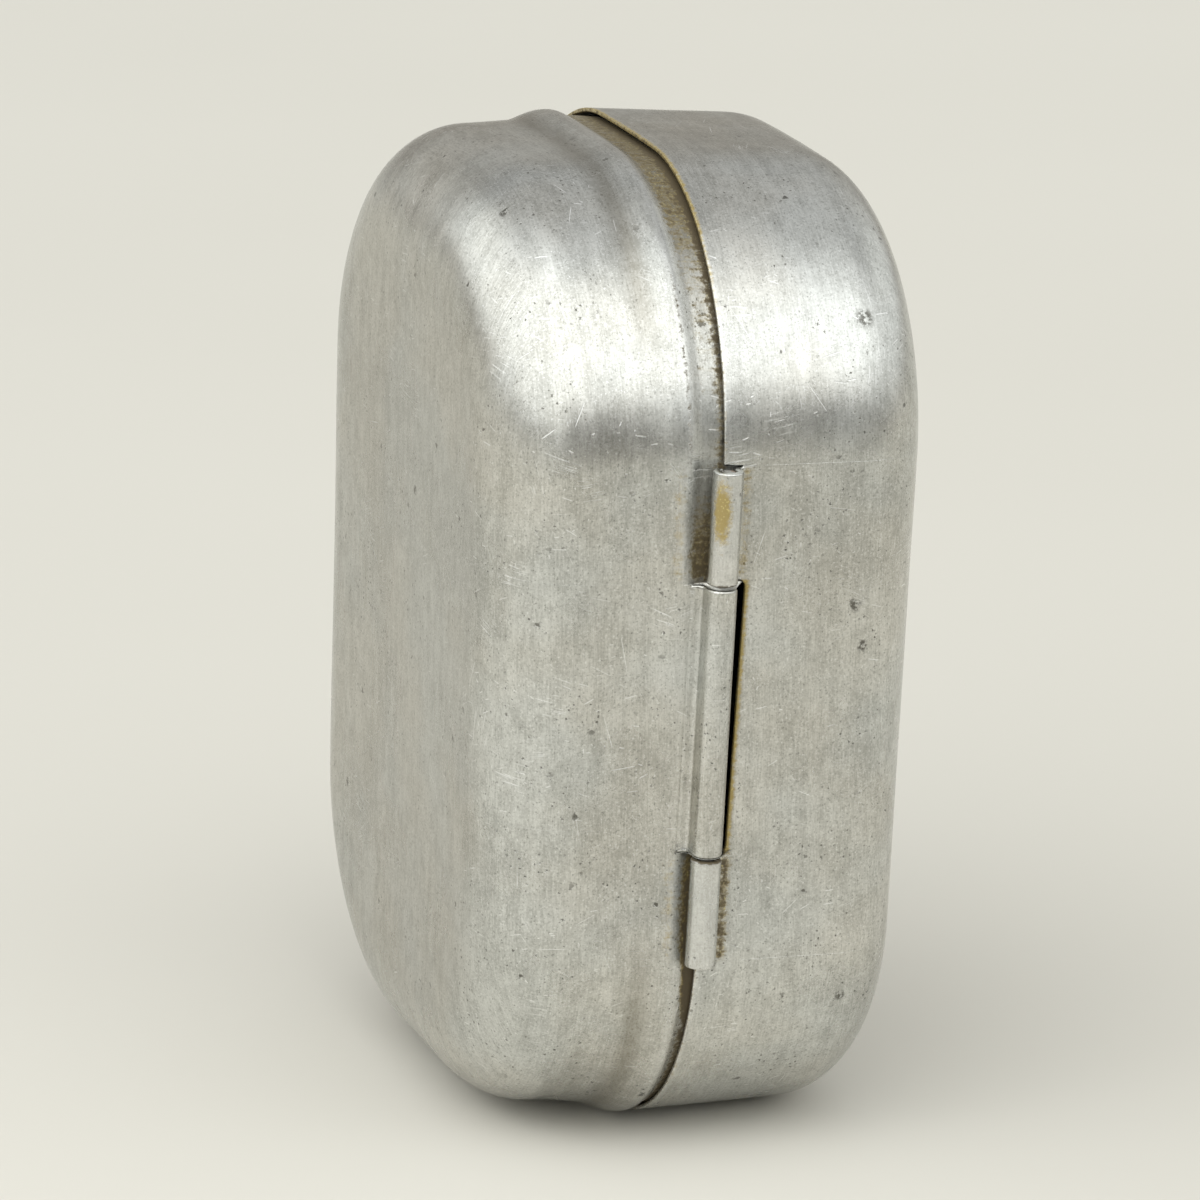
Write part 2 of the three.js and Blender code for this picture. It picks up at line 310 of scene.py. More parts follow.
def evenly(points, step=0.03):
    """The polyline resampled at even steps."""
    points = np.array(points, float)
    lengths = np.concatenate([[0], np.cumsum(np.linalg.norm(np.diff(points, axis=0), axis=1))])
    at = np.linspace(0, lengths[-1], int(lengths[-1] / step) + 2)
    return np.stack([np.interp(at, lengths, column) for column in points.T], 1), at


def softened(points, reach):
    """An evenly stepped polyline with its corners rounded over about reach, its ends kept."""
    step = np.linalg.norm(points[1] - points[0])
    count = int(3 * reach / step)
    kernel = np.exp(-0.5 * (np.arange(-count, count + 1) * step / reach) ** 2)
    kernel /= kernel.sum()
    before = 2 * points[0] - points[count:0:-1]
    after = 2 * points[-1] - points[-2:-count - 2:-1]
    padded = np.concatenate([before, points, after])
    return np.stack([np.convolve(column, kernel, "valid") for column in padded.T], 1)


def roundover(depth, round_depth, round_inset, wall_inset):
    angle = np.linspace(0, QUARTER, 40)
    return np.stack([
        depth - round_depth * (1 - np.sin(angle)),
        wall_inset + round_inset * (1 - np.cos(angle)),
    ], 1)


def lid_profile():
    wall_inset = LID_DRAFT * (LID_DEPTH - LID_ROUND_DEPTH)
    return np.vstack([[0, 0], roundover(LID_DEPTH, LID_ROUND_DEPTH, LID_ROUND_INSET, wall_inset)])


def base_profile(shoulder_run):
    """Spigot, a shoulder that climbs over the run of depths to the bead, wall and roundover."""
    tip = SPIGOT_INSET + SPIGOT_TAPER * (shoulder_run[0] + SPIGOT_REACH)
    spigot = [[-SPIGOT_REACH, tip + SPIGOT_LEAD / 2], [SPIGOT_LEAD - SPIGOT_REACH, tip]]
    low, high = shoulder_run
    depth = np.linspace(low, BEAD_FOOT, 60)
    bead = lerp(BEAD_CREST_INSET, BASE_WALL_INSET, smoothstep(BEAD_CREST, BEAD_FOOT, depth))
    inset = lerp(bead, SPIGOT_INSET, smoothstep(high, low, depth))
    wall_inset = BASE_WALL_INSET + BASE_DRAFT * (BASE_DEPTH - BASE_ROUND_DEPTH - BEAD_FOOT)
    top = roundover(BASE_DEPTH, BASE_ROUND_DEPTH, BASE_ROUND_INSET, wall_inset)
    return np.vstack([spigot, np.stack([depth, inset], 1), top])


def strip_profile(leaves, lap_inset):
    """The outer face of a knuckle's strip, from its rolled end to where it leaves the wall."""
    angle = np.linspace(CURL_SWEEP, 0, 90)
    curl = np.stack([
        BARREL_RADIUS * np.cos(angle),
        -PIN_STANDOFF - BARREL_RADIUS * np.sin(angle),
    ], 1)
    turn = np.linspace(QUARTER, 0, 14)
    bend = np.stack([
        STRIP_REACH - CURL_BEND_RADIUS * np.sin(turn),
        lap_inset - CURL_BEND_RADIUS * (1 - np.cos(turn)),
    ], 1)
    return np.vstack([curl, bend, [leaves, lap_inset]])


class Curve:
    """A profile along the sheet: the depth and inset of its outer and inner skins."""

    def __init__(self, points, at, sheet):
        along = np.gradient(points, at, axis=0)
        along /= np.linalg.norm(along, axis=1)[:, None]
        inner = points + sheet * np.column_stack([-along[:, 1], along[:, 0]])
        self.at = at
        self.values = np.column_stack([points, inner])

    def square_inside(self):
        """Keep a square corner inside a bend tighter than the sheet is thick."""
        inner = self.values[:, 2:]
        deepest = np.maximum.accumulate(inner[:, 0])
        doubled = inner[:, 0] < deepest
        crest = inner[~doubled, 1].min()
        inner[doubled, 1] = np.maximum(inner[doubled, 1], crest)
        inner[:, 0] = deepest
        return self

    def look(self, length):
        return np.stack([np.interp(length, self.at, column) for column in self.values.T], 1)


# Shells

class Shell:
    """A drawn shell as one sheet: its outline, its wall profiles, and the strips of its hinge."""

    def __init__(self, side, corners, spans, skew, rim_share):
        self.side = side
        self.rim_share = rim_share
        self.outline = Outline(LID_CORNERS, corners)
        self.spans = spans
        self.skew = skew

    def set_walls(self, plain, setback, softness):
        points, at = evenly(plain)
        points = softened(points, softness)
        self.plain = Curve(points, at, SHEET).square_inside()
        other, _ = evenly(setback)
        other = softened(other, softness)
        share = np.linspace(0, 1, len(at))
        other = np.stack([np.interp(share, np.linspace(0, 1, len(other)), c) for c in other.T], 1)
        self.setback = Curve(other, at, SHEET).square_inside()
        self.depth_at = lambda depth: np.interp(depth, points[:, 0], at)
        self.face_edge = at[-1]

    def set_strip(self, leaves, lap_inset):
        points, at = evenly(strip_profile(leaves, lap_inset))
        points = softened(points, STRIP_SOFTNESS)
        self.root = self.depth_at(leaves)
        self.tip = self.root - at[-1]
        self.strip = Curve(points, at + self.tip, CURL_SHEET)

    def points(self, along, length, through):
        """Points in the lid's frame: along the outline, up the sheet from its rim, through it."""
        from_head = HEAD_FADE_RATE * (HEAD_SPAN[1] - HEAD_FADE_BACK - along)
        beside = np.maximum(*[smoothstep(-SETBACK_FADE / 2, SETBACK_FADE / 2, edge) for edge in (
            np.minimum(along - FOOT_SPAN[0], FOOT_SPAN[1] - along),
            np.minimum(along - HEAD_SPAN[0], from_head),
        )])
        wall = lerp(self.plain.look(length), self.setback.look(length), beside[:, None])
        on_strip = in_spans(along, self.spans, 0.1)
        rolled = on_strip & (length < self.root)
        wall[rolled] = self.strip.look(length[rolled])
        taper = np.where(rolled, 1, lerp(self.rim_share, 1, smoothstep(0, LID_RIM_TAPER, length)))
        depth, inset = lerp(wall[:, :2], wall[:, 2:], (through * taper)[:, None]).T
        rounder = smoothstep(BEAD_CREST, BASE_DEPTH - BASE_ROUND_DEPTH, depth)
        y, z = self.outline.at(along, inset, rounder)
        straight = np.where(on_strip, smoothstep(self.root + 2, self.root, length), 0)
        y = lerp(y, inset - HALF_WIDTH, straight)
        z = lerp(z, along, straight)
        x = self.side * depth
        turn = self.skew * (1 - straight)
        rise = z - MIDDLE
        return np.stack([
            x * np.cos(turn) - rise * np.sin(turn),
            y,
            x * np.sin(turn) + rise * np.cos(turn) + MIDDLE,
        ], 1)


# Cut edges: the flat pattern of a rim is a line of corners, each rounded

def rim_path(corners):
    """Points (along, length, column) on a line with rounded corners, and its inward normals.

    A corner is (along, length, column, radius): column is where its line starts up the wall.
    """
    corners = [np.array(corner, float) for corner in corners]
    path = [corners[0][:3]]
    for before, corner, after in zip(corners, corners[1:], corners[2:]):
        radius = corner[3]
        back = before[:3] - corner[:3]
        on = after[:3] - corner[:3]
        back_length = np.linalg.norm(back[:2])
        on_length = np.linalg.norm(on[:2])
        enter = corner[:3] + back * radius / back_length
        leave = corner[:3] + on * radius / on_length
        centre = enter[:2] + leave[:2] - corner[:2]
        for share in np.linspace(0, 1, 6):
            angle = share * QUARTER
            onward = (leave[:2] - corner[:2]) * math.cos(angle)
            backward = (enter[:2] - corner[:2]) * math.sin(angle)
            spot = centre - onward - backward
            path.append(np.array([*spot, lerp(enter[2], leave[2], share)]))
    path.append(corners[-1][:3])
    dense = [path[0]]
    for start, end in zip(path, path[1:]):
        steps = max(1, round(np.linalg.norm(end[:2] - start[:2]) / RIM_STEP))
        dense += [lerp(start, end, i / steps) for i in range(1, steps + 1)]
    dense = np.array(dense)
    heading = np.gradient(dense[:, :2], axis=0)
    heading /= np.linalg.norm(heading, axis=1)[:, None]
    return dense, np.stack([-heading[:, 1], heading[:, 0]], 1)


RIM_LOW = 14
RIM_HIGH = 82
SPREAD = 2.4
CUT_SPREAD = 1.2
OUTER_CORNER = 0.22
STRIP_CORNER = 0.35


def lid_rim(shell):
    (foot_low, foot_high), (head_low, head_high) = FOOT_SPAN, HEAD_SPAN
    gap = LID_SLIT
    half = gap / 2
    root, tip = shell.root, shell.tip
    return [
        (RIM_LOW, 0, RIM_LOW, 0),
        (foot_low - gap, 0, foot_low - gap - CUT_SPREAD, OUTER_CORNER),
        (foot_low - gap, root, foot_low - gap, half),
        (foot_low, root, foot_low, half),
        (foot_low, tip, foot_low + SPREAD, STRIP_CORNER),
        (foot_high, tip, foot_high - SPREAD, STRIP_CORNER),
        (foot_high, NOTCH_DEPTHS[0], foot_high, NOTCH_CORNER),
        (head_low, NOTCH_DEPTHS[1], head_low, NOTCH_CORNER),
        (head_low, tip, head_low + SPREAD, STRIP_CORNER),
        (head_high, tip, head_high - SPREAD, STRIP_CORNER),
        (head_high, root, head_high, half),
        (head_high + gap, root, head_high + gap, half),
        (head_high + gap, 0, head_high + gap + CUT_SPREAD, OUTER_CORNER),
        (RIM_HIGH, 0, RIM_HIGH, 0),
    ]


def base_rim(shell):
    low, high = MIDDLE_SPAN
    gap = BASE_SLIT
    half = gap / 2
    root, tip = shell.root, shell.tip
    return [
        (RIM_LOW, 0, RIM_LOW, 0),
        (low - gap, 0, low - gap - SPREAD, OUTER_CORNER),
        (low - gap, root, low - gap, half),
        (low, root, low, half),
        (low, tip, low + SPREAD, STRIP_CORNER),
        (high, tip, high - SPREAD, STRIP_CORNER),
        (high, root, high, half),
        (high + gap, root, high + gap, half),
        (high + gap, 0, high + gap + SPREAD, OUTER_CORNER),
        (RIM_HIGH, 0, RIM_HIGH, 0),
    ]


# Meshing a shell: rows from the middle of the outer face, over the rim, to the inner face

def shell_rows(shell, rim, wall_top, rim_top, seed):
    path, inward = rim_path(rim)
    plain_run = shell.outline.length - (RIM_HIGH - RIM_LOW)
    next_start = shell.outline.length + RIM_LOW
    beyond = np.linspace(RIM_HIGH, next_start, round(plain_run / RING_STEP))[1:-1]
    edge = np.vstack([path, np.stack([beyond, 0 * beyond, beyond], 1)])
    inward = np.vstack([inward, np.tile([0, 1], (len(beyond), 1))])
    along, length, column = edge.T
    count = len(edge)
    rows = []

    def add(where, up, through):
        up = np.broadcast_to(up, count)
        calm = smoothstep(rim_top - 1, wall_top, up)
        swell = waves(shell.points(where, up, np.zeros(count)), seed) * calm
        sheet = shell.points(where, up, through - swell / SHEET)
        rows.append((sheet, where, up, np.full(count, through)))

    def add_face(share, through):
        ring = shell.points(column, np.full(count, shell.face_edge), np.full(count, through))
        centre = np.array([ring[:, 0].mean(), 0, MIDDLE])
        flat = lerp(centre, ring, share)
        flat[:, 0] += shell.side * waves(flat, seed)
        up = np.full(count, shell.face_edge + (1 - share) * HALF_WIDTH)
        rows.append((flat, column, up, np.full(count, through)))

    def add_wall(through, step):
        start = edge[:, :2] + inward * EDGE_RADIUS
        lines = []
        for up in np.linspace(shell.face_edge, wall_top, ROUND_ROWS // step + 1)[:-1]:
            lines.append((column, np.full(count, up)))
        for up in np.linspace(wall_top, rim_top, WALL_ROWS // step + 1)[:-1]:
            lines.append((column, np.full(count, up)))
        for share in np.append(RIM_SHARES[:-1:step], 1):
            lines.append((lerp(column, start[:, 0], share), lerp(rim_top, start[:, 1], share)))
        for where, up in lines if through == 0 else reversed(lines):
            add(where, up, through)

    def add_edge():
        turns = np.linspace(0, QUARTER, EDGE_STEPS + 1)[1:]
        for angle, inner in [(a, False) for a in turns] + [(a, True) for a in turns[::-1]]:
            back = EDGE_RADIUS * (1 - math.sin(angle))
            deep = EDGE_RADIUS / SHEET * (1 - math.cos(angle))
            through = 1 - deep if inner else deep
            add(along + inward[:, 0] * back, length + inward[:, 1] * back, through)

    for share in np.linspace(0, 1, FACE_ROWS + 1)[1:-1]:
        add_face(share, 0)
    add_wall(0, 1)
    add_edge()
    add_wall(1, INNER_STEP)
    for share in np.linspace(1, 0, FACE_ROWS // INNER_STEP + 1)[1:-1]:
        add_face(share, 1)
    return rows


def shell_mesh(name, shell, rows, place, marks):
    count = len(rows[0][0])
    points = np.vstack([row[0] for row in rows])
    where = np.concatenate([row[1] for row in rows])
    up = np.concatenate([row[2] for row in rows])
    through = np.concatenate([row[3] for row in rows])
    ends = np.array([rows[0][0].mean(0), rows[-1][0].mean(0)])
    outer, inner = len(points), len(points) + 1
    last = (len(rows) - 1) * count
    faces = []
    for i in range(count):
        j = (i + 1) % count
        faces.append((outer, j, i))
        faces.append((inner, last + i, last + j))
        for start in range(0, last, count):
            faces.append((start + i, start + j, start + count + j, start + count + i))
    if shell.side < 0:
        faces = [face[::-1] for face in faces]
    mesh = bpy.data.meshes.new(name)
    mesh.from_pydata(place.world(np.vstack([points, ends])).tolist(), [], faces)
    mesh.shade_smooth()
    for mark, values in marks(where, up, through).items():
        attribute = mesh.attributes.new(mark, "FLOAT", "POINT")
        middles = [values[:count].mean(), values[-count:].mean()]
        attribute.data.foreach_set("value", np.append(values, middles).astype(np.float32))
    made = bpy.data.objects.new(name, mesh)
    bpy.context.scene.collection.objects.link(made)
    return made


# Where dirt, wear, painted shade and painted highlight sit on each sheet

MEETING_WIDTH = 0.2


def bump_at(value, centre, width):
    return np.exp(-((value - centre) / width) ** 2)


def within(along, span, fade):
    """1 inside a span, falling to 0 over its ends."""
    low, high = span
    return smoothstep(low - fade, low + fade, along) * smoothstep(high + fade, high - fade, along)


def over_head(where, start):
    """1 over the head end, growing over a span of lengths on its hinge corner."""
    return smoothstep(*start, where) * smoothstep(*PAST_HEAD, where)


def at_ends(where, low, high):
    """1 at the two lengths where knuckles meet."""
    return np.maximum(bump_at(where, low, MEETING_WIDTH), bump_at(where, high, MEETING_WIDTH))


def lid_marks(shell):
    def marks(where, up, through):
        foot, head = (within(where, span, 0.6) for span in (FOOT_SPAN, HEAD_SPAN))
        knuckles = np.maximum(foot, head)
        rim = (1 - knuckles) * bump_at(up, 0, 0.4)
        notch_span = (FOOT_SPAN[1], HEAD_SPAN[0])
        notch = within(where, notch_span, 0.2)
        cut = smoothstep(0.02, 0.2, through)
        inside = smoothstep(0.8, 1, through)
        beside = bump_at(up, shell.root + 0.4, 0.75)
        around = bump_at(up, shell.root + 0.5, 0.8)
        barrel = knuckles * smoothstep(shell.root - 1.2, shell.root - 1.8, up)
        meeting = at_ends(where, *notch_span)
        lip = notch * bump_at(up, np.interp(where, notch_span, NOTCH_DEPTHS), 0.5)
        spot = bump_at(where, STAIN_HEIGHT, STAIN_REACH[0])
        spot *= bump_at(up, shell.root - STAIN_DOWN, STAIN_REACH[1])
        return {
            "grime": (
                (0.6 * foot + 0.2 * head) * beside + 0.2 * lip * cut + 0.4 * rim * cut
                + 0.9 * meeting * smoothstep(shell.root, shell.root - 1, up) + 0.2 * inside
            ),
            "stain": (
                (0.6 * foot + 0.4 * head) * around + 0.8 * lip
                + (0.3 + 0.5 * over_head(where, LID_OVER_HEAD)) * rim + 1.1 * spot + 0.1 * inside
            ),
            # A darker warm film round the knuckles' bends, along the notch's lip and on the inner
            # skin
            "tarnish": 0.3 * knuckles * around + 0.5 * lip + 0.2 * inside,
            # Partly wear, partly a painted highlight: the barrels and the rim's edge are lightened
            "wear": (0.5 * barrel + 0.5 * rim) * (1 - inside),
            "dull": 0.3 * inside,
        }
    return marks


def base_marks(shell):
    def marks(where, up, through):
        bare = np.where(in_spans(where, shell.spans, 0.1), 0, 1)
        foot, head = (within(where, span, 0.9) for span in (FOOT_SPAN, HEAD_SPAN))
        recess = np.maximum(foot, head)
        none = np.zeros(len(where))
        _, height = shell.outline.at(where, none, none)
        lid_rim = shell.depth_at(LID_SKEW * (MIDDLE - height))
        crest = shell.depth_at(lerp(SHOULDER_RUN[1], RECESS_RUN[1], recess))
        exposed = smoothstep(lid_rim - 1.4, lid_rim - 0.2, up)
        slope = smoothstep(crest - 0.2, crest - 1.9, up) * lerp(0.2, 1, exposed)
        # Painted shade: the flat face is darkened, standing in for a darker reflection on it
        face_shade = smoothstep(shell.face_edge - 7, shell.face_edge + 1, up)
        meeting = at_ends(where, *MIDDLE_SPAN)
        below_foot = within(where, (FOOT_SPAN[0] - 5, FOOT_SPAN[1]), 3)
        inside = smoothstep(0.8, 1, through)
        under_lid = bump_at(up, lid_rim + 0.1, 0.6)
        low_in_head = head * smoothstep(HEAD_SPAN[1] - 1, HEAD_SPAN[0] + 2, where)
        to_head = smoothstep(*TO_HEAD, where)
        to_foot = smoothstep(FOOT_SPAN[1], FOOT_SPAN[0], where)
        on_head = over_head(where, BASE_OVER_HEAD)
        past_hinge = within(where, (HINGE_HEAD, CREST_DIRT_END), 2)
        ends = 1 - within(where, (HINGE_FOOT - 2, HINGE_HEAD + 14), 8)
        # Painted shade: the bead's valley is darkened near the head and foot ends
        valley_shade = ends * bump_at(up, shell.depth_at(BEAD_FOOT - 0.8), 1.3)
        seam_dirt = below_foot * bump_at(up, lid_rim + 0.6, 0.8)
        grime = slope * (
            0.15 + 0.05 * to_head + 0.3 * on_head + 0.4 * below_foot + 0.55 * low_in_head
        )
        grime += under_lid * (0.3 + 0.25 * to_head + 0.4 * to_foot) + 0.45 * seam_dirt
        grime += 0.4 * past_hinge * bump_at(up, crest, 0.3)
        stain = slope * (
            0.15 + 0.1 * to_head + 0.3 * on_head + 0.5 * low_in_head + 0.45 * below_foot
        )
        stain += 0.3 * under_lid + 0.7 * seam_dirt
        stain += 0.35 * recess * bump_at(up, crest + 0.3, 0.9)
        # Painted shade: a darker warm film down the shoulder into the seam and the hinge recess
        tarnish = slope * slope * (
            0.25 + 0.15 * to_head + 0.6 * on_head + 0.7 * foot + 0.4 * head + 0.4 * low_in_head
        )
        sunk = recess * smoothstep(crest + 0.5, crest - 0.5, up)
        rolled = (1 - bare) * smoothstep(0, -1, up)
        return {
            "grime": bare * grime + 0.9 * rolled * meeting + 0.2 * inside,
            "stain": bare * stain + 0.1 * inside,
            "tarnish": bare * tarnish + 0.8 * valley_shade + 0.38 * face_shade + 0.2 * inside,
            # Partly wear, partly a painted highlight: the rolled strip and the bead's crest are
            # lightened
            "wear": (0.5 * rolled + 0.3 * bare * bump_at(up, crest, 0.5)) * (1 - inside),
            "dull": np.maximum(bare * sunk, 0.3 * inside),
        }
    return marks


# Pieces

def make_lid(place):
    shell = Shell(1, LID_CORNERS, [FOOT_SPAN, HEAD_SPAN], 0, LID_RIM_SHARE)
    shell.set_walls(lid_profile(), lid_profile(), LID_SOFTNESS)
    shell.set_strip(STRIP_REACH, LID_DRAFT * STRIP_REACH)
    wall_top = shell.depth_at(LID_DEPTH - LID_ROUND_DEPTH)
    rim_top = NOTCH_DEPTHS[1] + RIM_MARGIN
    rows = shell_rows(shell, lid_rim(shell), wall_top, rim_top, seed=4)
    return shell_mesh("lid_sheet", shell, rows, place, lid_marks(shell))


def make_base(place):
    shell = Shell(-1, BASE_CORNERS, [MIDDLE_SPAN], LID_SKEW, 1)
    shell.set_walls(base_profile(SHOULDER_RUN), base_profile(RECESS_RUN), BASE_SOFTNESS)
    shell.set_strip(SLIT_ROOT, BEAD_CREST_INSET)
    wall_top = shell.depth_at(BASE_DEPTH - BASE_ROUND_DEPTH)
    rim_top = shell.depth_at(BEAD_FOOT)
    rows = shell_rows(shell, base_rim(shell), wall_top, rim_top, seed=9)
    return shell_mesh("base_sheet", shell, rows, place, base_marks(shell))


def make_pin(place):
    """Drawn wire with slightly rounded ends."""
    half = HINGE_LENGTH / 2 - PIN_RECESS
    blunt = 0.15
    turn = np.linspace(0, QUARTER, 5)
    cap = [
        (PIN_RADIUS - blunt + blunt * math.sin(a), half - blunt + blunt * math.cos(a))
        for a in turn
    ]
    profile = cap + [(r, -z) for r, z in reversed(cap)]
    sides = 48
    angle = np.arange(sides) * 2 * math.pi / sides
    points = [(0, PIN_Y, HINGE_MIDDLE + half)]
    for radius, z in profile:
        points += [
            (radius * math.cos(a), PIN_Y + radius * math.sin(a), HINGE_MIDDLE + z)
            for a in angle
        ]
    points.append((0, PIN_Y, HINGE_MIDDLE - half))
    end = len(points) - 1
    faces = []
    for i in range(sides):
        j = (i + 1) % sides
        faces.append((0, 1 + i, 1 + j))
        faces.append((end, end - sides + j, end - sides + i))
        for start in range(1, end - sides, sides):
            faces.append((start + i, start + sides + i, start + sides + j, start + j))
    mesh = bpy.data.meshes.new("hinge_wire")
    mesh.from_pydata(place.world(np.array(points)).tolist(), [], faces)
    mesh.shade_smooth()
    made = bpy.data.objects.new("hinge_wire", mesh)
    bpy.context.scene.collection.objects.link(made)
    return made


# Materials

class Graph:
    """Short calls that build a node tree."""

    def __init__(self, tree):
        self.tree = tree
        tree.nodes.clear()

    def feed(self, socket, value):
        if isinstance(value, bpy.types.NodeSocket):
            self.tree.links.new(value, socket)
        else:
            socket.default_value = value

    def node(self, kind, values=None, **settings):
        made = self.tree.nodes.new(kind)
        for name, value in settings.items():
            setattr(made, name, value)
        for key, value in (values or {}).items():
            self.feed(made.inputs[key], value)
        return made

    def math(self, operation, *values):
        return self.node("ShaderNodeMath", dict(enumerate(values)), operation=operation).outputs[0]

    def scaled(self, value, by):
        return self.math("MULTIPLY", value, by)

    def product(self, first, *others):
        for other in others:
            first = self.math("MULTIPLY", first, other)
        return first

    def total(self, first, *others):
        for other in others:
            first = self.math("ADD", first, other)
        return first

    def weighted(self, *pairs):
        return self.total(*[self.scaled(value, weight) for value, weight in pairs])

    def measure(self, operation, *values):
        """A number taken from vectors, such as a length."""
        made = self.node("ShaderNodeVectorMath", dict(enumerate(values)), operation=operation)
        return made.outputs["Value"]

    def vector(self, operation, *values, **named):
        made = self.node("ShaderNodeVectorMath", dict(enumerate(values)), operation=operation)
        for key, value in named.items():
            self.feed(made.inputs[key], value)
        return made.outputs[0]

    def parts(self, vector):
        return self.node("ShaderNodeSeparateXYZ", {0: vector}).outputs

    def join(self, x, y, z=0.0):
        return self.node("ShaderNodeCombineXYZ", {0: x, 1: y, 2: z}).outputs[0]

    def ramp(self, value, low, high, start=0.0, end=1.0):
        names = ("Value", "From Min", "From Max", "To Min", "To Max")
        sockets = dict(zip(names, (value, low, high, start, end)))
        return self.node("ShaderNodeMapRange", sockets, interpolation_type="SMOOTHSTEP").outputs[0]

    def tint(self, share, first, second):
        made = self.node("ShaderNodeMix", {0: share, 6: first, 7: second}, data_type="RGBA")
        return made.outputs[2]

    def pick(self, share, first, second):
        made = self.node("ShaderNodeMix", {0: share, 4: first, 5: second}, data_type="VECTOR")
        return made.outputs[1]

    def noise(self, place, scale, detail=3.0, roughness=0.55):
        sockets = {"Vector": place, "Scale": scale, "Detail": detail, "Roughness": roughness}
        return self.node("ShaderNodeTexNoise", sockets).outputs[0]

    def mark(self, name):
        return self.node("ShaderNodeAttribute", attribute_name=name).outputs["Fac"]

    def solid(self):
        """The place in the piece, in millimetres."""
        metres = self.node("ShaderNodeTexCoord").outputs["Object"]
        return self.vector("SCALE", metres, Scale=1 / MM)

    def bump(self, height, strength, depth):
        sockets = {"Strength": strength, "Distance": depth * MM, "Height": height}
        return self.node("ShaderNodeBump", sockets).outputs[0]

    def surface(self, colour, rough, **others):
        sockets = {"Base Color": colour, "Roughness": rough, **others}
        shader = self.node("ShaderNodeBsdfPrincipled", sockets)
        self.node("ShaderNodeOutputMaterial", {"Surface": shader.outputs[0]})


def new_material(name):
    made = bpy.data.materials.new(name)
    made.use_nodes = True
    return made, Graph(made.node_tree)


def flat_place(graph, solid):
    """Each part of the surface laid flat by the way it faces, in millimetres."""
    facing = graph.node("ShaderNodeTexCoord").outputs["Normal"]
    nx, ny, nz = graph.parts(graph.vector("ABSOLUTE", facing))
    x, y, z = graph.parts(solid)
    to_side = graph.product(graph.math("GREATER_THAN", nx, ny), graph.math("GREATER_THAN", nx, nz))
    to_front = graph.math("GREATER_THAN", ny, nz)
    ends = graph.pick(to_front, graph.join(x, y), graph.join(x, z))
    return graph.pick(to_side, ends, graph.join(y, z))


def scattered(graph, flat, cell, shift):
    """A scattered pattern of cells: the place within a cell, and three chances for each cell."""
    moved = graph.vector("ADD", flat, (shift, 2.3 * shift, 0.0))
    sockets = {"Vector": moved, "Scale": 1 / cell}
    cells = graph.node("ShaderNodeTexVoronoi", sockets, voronoi_dimensions="2D", feature="F1")
    local = graph.vector("SUBTRACT", moved, cells.outputs["Position"])
    return local, graph.node("ShaderNodeSeparateColor", {0: cells.outputs["Color"]}).outputs


def leaning(graph, local, chance, lean, spread):
    """A place within a cell, turned by the cell's own angle."""
    angle = graph.math("MULTIPLY_ADD", chance, spread, lean)
    sockets = {"Vector": local, "Angle": angle}
    turned = graph.node("ShaderNodeVectorRotate", sockets, rotation_type="Z_AXIS")
    return graph.parts(turned.outputs[0])


def scratches(graph, flat, cell, width, length, share, lean, spread, shift):
    """A mask of short straight scratches, at most one in each cell."""
    local, chance = scattered(graph, flat, cell, shift)
    x, y, _ = leaning(graph, local, chance[0], lean, spread)
    half = graph.math("MULTIPLY_ADD", chance[1], 0.4 * length, 0.1 * length)
    line = graph.ramp(graph.math("ABSOLUTE", y), width, 0.3 * width)
    run = graph.ramp(graph.math("DIVIDE", graph.math("ABSOLUTE", x), half), 1.0, 0.6)
    return graph.product(line, run, graph.ramp(chance[2], share, 0.5 * share))


def scuffs(graph, flat, cell, share, lean, spread, shift):
    """A mask of bunches of fine parallel scratches, at most one bunch in each cell."""
    local, chance = scattered(graph, flat, cell, shift)
    x, y, _ = leaning(graph, local, chance[0], lean, spread)
    strands = graph.join(graph.scaled(x, 0.45), graph.scaled(y, 6.0), chance[1])
    lines = graph.ramp(graph.noise(strands, 1.0, 2.0), 0.58, 0.7)
    fade = graph.ramp(graph.measure("LENGTH", local), 0.5 * cell, 0.15 * cell)
    return graph.product(lines, fade, graph.ramp(chance[2], share, 0.8 * share))


def specks(graph, flat, cell, size, share, shift):
    """A mask of round pits, at most one in each cell."""
    local, chance = scattered(graph, flat, cell, shift)
    away = graph.measure("LENGTH", local)
    away = graph.product(away, graph.ramp(graph.noise(flat, 1.2 / size), 0.3, 0.7, 0.5, 1.8))
    reach = graph.math("MULTIPLY_ADD", chance[1], 0.7 * size, 0.3 * size)
    spot = graph.ramp(graph.math("DIVIDE", away, reach), 1.0, 0.5)
    return graph.product(spot, graph.ramp(chance[2], share, 0.9 * share))


def stretched(graph, place, *rates):
    return graph.join(*[graph.scaled(v, rate) for v, rate in zip(graph.parts(place), rates)])


